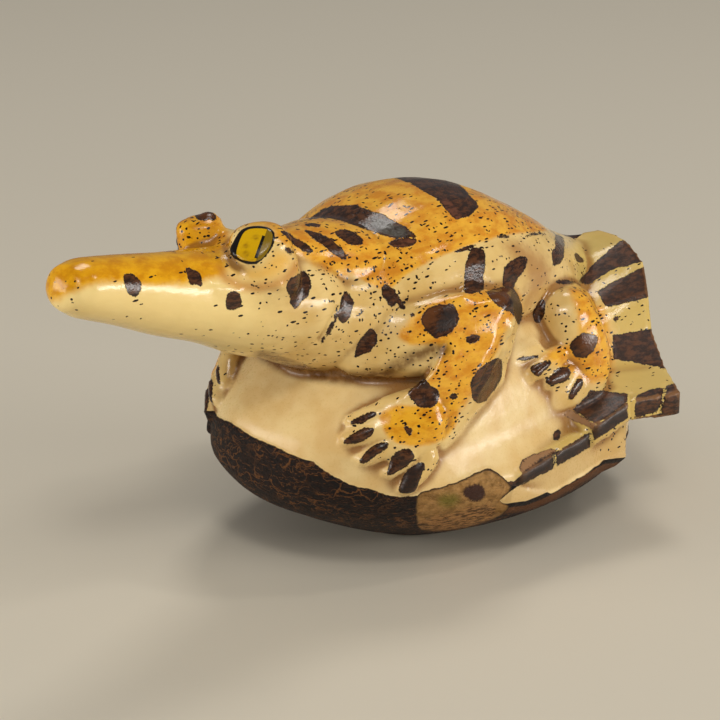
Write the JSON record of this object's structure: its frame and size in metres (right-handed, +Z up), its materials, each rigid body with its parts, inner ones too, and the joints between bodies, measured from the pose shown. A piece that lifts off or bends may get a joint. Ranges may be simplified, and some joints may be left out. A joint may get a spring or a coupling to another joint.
{
  "type": "crocodile carving",
  "caption": "Small crocodile carved from a tagua nut, lying on the nut's rounded brown underside, painted and varnished.",
  "frame": {"origin": "on the flat resting spot under the nut, near its centre, at the floor", "axes": "the snout points along -Y, the animal's left side is +X, and +Z is up"},
  "size_m": [0.0332, 0.0655, 0.0328],
  "materials": {
    "painted_nut": "stained and painted vegetable ivory under gloss varnish, nut skin left brown below"
  },
  "bodies": {
    "root": {"crocodile_carving": "painted_nut"}
  },
  "joints": []
}
